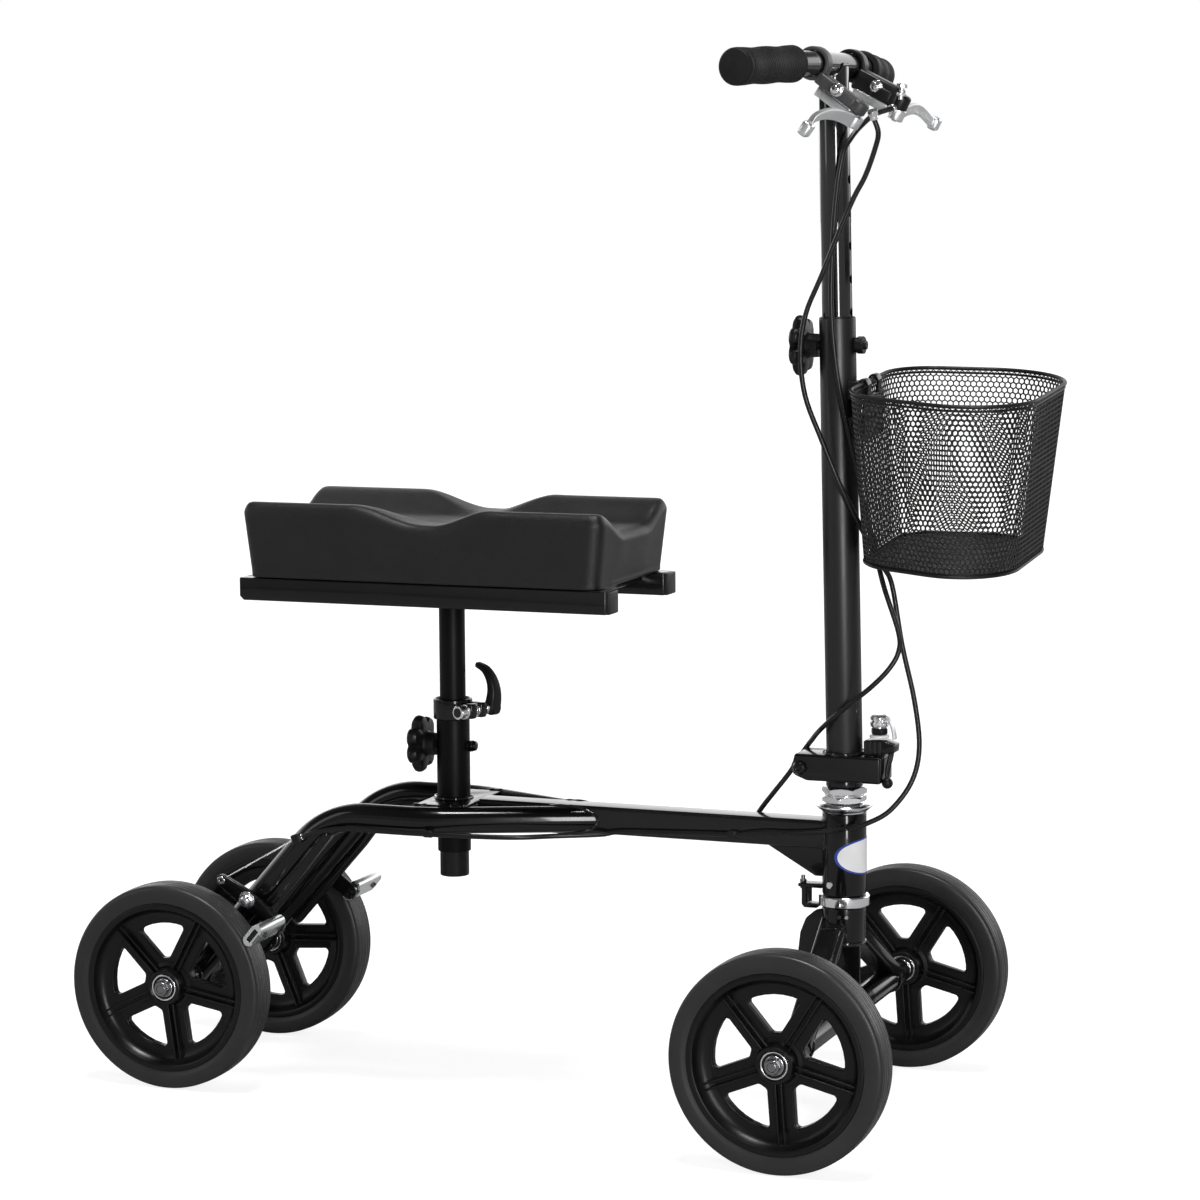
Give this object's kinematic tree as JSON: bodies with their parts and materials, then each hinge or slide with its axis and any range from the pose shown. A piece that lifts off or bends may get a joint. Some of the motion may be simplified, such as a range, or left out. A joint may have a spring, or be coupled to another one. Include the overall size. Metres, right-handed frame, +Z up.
{
  "type": "knee scooter",
  "caption": "Steerable knee scooter with a raised padded shin rest, folding steering column, hand-operated rear brakes and a detachable mesh basket.",
  "frame": {"origin": "on the floor at the middle of the bounding box, between the left and right wheels", "axes": "+X forward in the direction of travel, +Y to the rider's left, +Z up"},
  "size_m": [0.936, 0.453, 0.9882],
  "materials": {
    "paint": "gloss",
    "plastic": "satin moulded",
    "grip_rubber": "matt",
    "tread": "matt",
    "pad": "fine grained skin",
    "chrome": "bright",
    "alloy": "cast",
    "mesh": "coated expanded mesh"
  },
  "bodies": {
    "frame": {"main_beam": "paint", "head_tube": "paint", "steering_stop_bracket": "paint", "upper_headset_cup": "chrome", "lower_headset_cup": "chrome", "side_tube_left": "paint", "side_tube_right": "paint", "seat_tube": "paint", "seat_tube_bush": "plastic", "seat_tube_plate": "paint", "seat_knob_nut": "paint", "seat_clamp_collar": "paint", "seat_clamp_bolt": "chrome", "rear_axle_tube": "paint", "rear_axle": "chrome", "brake_pivot_left": "chrome", "brake_pivot_right": "chrome", "brake_cable_left_lower": "grip_rubber", "brake_cable_right_lower": "grip_rubber"},
    "fork": {"fork": "paint", "steerer_block": "paint", "headset_locknuts": "chrome", "fold_pivot_bolt": "paint", "front_axle": "chrome"},
    "column": {"fold_channel": "paint", "column_tube": "paint", "latch_bolt": "chrome", "stem_knob_nut": "plastic", "basket_bracket": "plastic", "brake_cable_left_upper": "grip_rubber", "brake_cable_right_upper": "grip_rubber"},
    "stem": {"stem_tube": "paint", "handlebar": "paint", "grip_left": "grip_rubber", "grip_right": "grip_rubber", "brake_perch_left": "plastic", "brake_perch_right": "plastic"},
    "brake_lever_left": {"brake_lever_left": "alloy"},
    "brake_lever_right": {"brake_lever_right": "alloy"},
    "latch_lever": {"latch_lever": "plastic"},
    "stem_knob": {"stem_knob": "plastic"},
    "basket": {"basket": "mesh"},
    "seat": {"seat_post": "paint", "seat_rail_left": "paint", "seat_rail_right": "paint", "knee_pad": "pad"},
    "seat_knob": {"seat_knob": "plastic"},
    "seat_clamp_lever": {"seat_clamp_lever": "plastic"},
    "rear_brake_left": {"brake_arm_left": "paint", "brake_shoe_left": "alloy"},
    "rear_brake_right": {"brake_arm_right": "paint", "brake_shoe_right": "alloy"},
    "rear_left_wheel": {"rear_left_tyre": "tread", "rear_left_rim": "plastic"},
    "rear_right_wheel": {"rear_right_tyre": "tread", "rear_right_rim": "plastic"},
    "front_left_wheel": {"front_left_tyre": "tread", "front_left_rim": "plastic"},
    "front_right_wheel": {"front_right_tyre": "tread", "front_right_rim": "plastic"}
  },
  "joints": [
    {"name": "steering", "type": "hinge", "parent": "frame", "child": "fork", "pos_m": [0.276, 0, 0.24945], "axis": [0, 0, 1], "range_deg": [-35, 35], "deforming": ["brake_cable_left_upper", "brake_cable_right_upper"]},
    {"name": "column_fold", "type": "hinge", "parent": "fork", "child": "column", "pos_m": [0.239, 0, 0.33045], "axis": [0, -1, 0], "range_deg": [0, 36], "deforming": ["brake_cable_left_upper", "brake_cable_right_upper"]},
    {"name": "stem_height", "type": "slide", "parent": "column", "child": "stem", "axis": [-0.0192, 0, 0.9998], "range_m": [-0.12, 0], "deforming": ["brake_cable_left_upper", "brake_cable_right_upper"]},
    {"name": "seat_height", "type": "slide", "parent": "frame", "child": "seat", "axis": [0, 0, 1], "range_m": [-0.07, 0]},
    {"name": "rear_left_spin", "type": "hinge", "parent": "frame", "child": "rear_left_wheel", "pos_m": [-0.368, 0.115, 0.09945], "axis": [0, 1, 0], "continuous": true},
    {"name": "rear_right_spin", "type": "hinge", "parent": "frame", "child": "rear_right_wheel", "pos_m": [-0.368, -0.115, 0.09945], "axis": [0, 1, 0], "continuous": true},
    {"name": "front_left_spin", "type": "hinge", "parent": "fork", "child": "front_left_wheel", "pos_m": [0.2785, 0.2, 0.09945], "axis": [0, 1, 0], "continuous": true},
    {"name": "front_right_spin", "type": "hinge", "parent": "fork", "child": "front_right_wheel", "pos_m": [0.2785, -0.2, 0.09945], "axis": [0, 1, 0], "continuous": true},
    {"name": "brake_lever_left_pull", "type": "hinge", "parent": "stem", "child": "brake_lever_left", "pos_m": [0.30752, 0.055, 0.92879], "axis": [0.454, 0, 0.891], "range_deg": [0, 20], "stiffness_Nm_per_rad": 1, "springref_deg": -8.59},
    {"name": "rear_brake_left_press", "type": "hinge", "parent": "frame", "child": "rear_brake_left", "pos_m": [-0.3, 0.082, 0.18145], "axis": [0, 1, 0], "range_deg": [0, 5.5], "stiffness_Nm_per_rad": 1, "springref_deg": -8.59},
    {"name": "brake_lever_right_pull", "type": "hinge", "parent": "stem", "child": "brake_lever_right", "pos_m": [0.29972, -0.055, 0.92224], "axis": [-0.5934, 0, -0.8049], "range_deg": [0, 20], "stiffness_Nm_per_rad": 1, "springref_deg": -8.59},
    {"name": "rear_brake_right_press", "type": "hinge", "parent": "frame", "child": "rear_brake_right", "pos_m": [-0.3, -0.082, 0.18145], "axis": [0, 1, 0], "range_deg": [0, 5.5], "stiffness_Nm_per_rad": 1, "springref_deg": -8.59},
    {"name": "seat_clamp_release", "type": "hinge", "parent": "frame", "child": "seat_clamp_lever", "pos_m": [-0.08377, 0.01561, 0.36545], "axis": [-0.9314, 0.3641, 0], "range_deg": [0, 90]},
    {"name": "seat_knob_turn", "type": "hinge", "parent": "frame", "child": "seat_knob", "pos_m": [-0.1343, 0, 0.32945], "axis": [-1, 0, 0], "range_deg": [0, 360]},
    {"name": "stem_knob_turn", "type": "hinge", "parent": "column", "child": "stem_knob", "pos_m": [0.25167, 0, 0.71915], "axis": [-1, 0, 0], "range_deg": [0, 360]},
    {"name": "latch_release", "type": "hinge", "parent": "column", "child": "latch_lever", "pos_m": [0.322, 0, 0.35045], "axis": [0, -1, 0], "range_deg": [0, 90]},
    {"name": "basket_lift", "type": "slide", "parent": "column", "child": "basket", "axis": [-0.0192, 0, 0.9998], "range_m": [0, 0.04]}
  ],
  "couplings": [
    {"joint": "rear_brake_left_press", "follows": "brake_lever_left_pull", "ratio": 0.27},
    {"joint": "rear_brake_right_press", "follows": "brake_lever_right_pull", "ratio": 0.27}
  ]
}
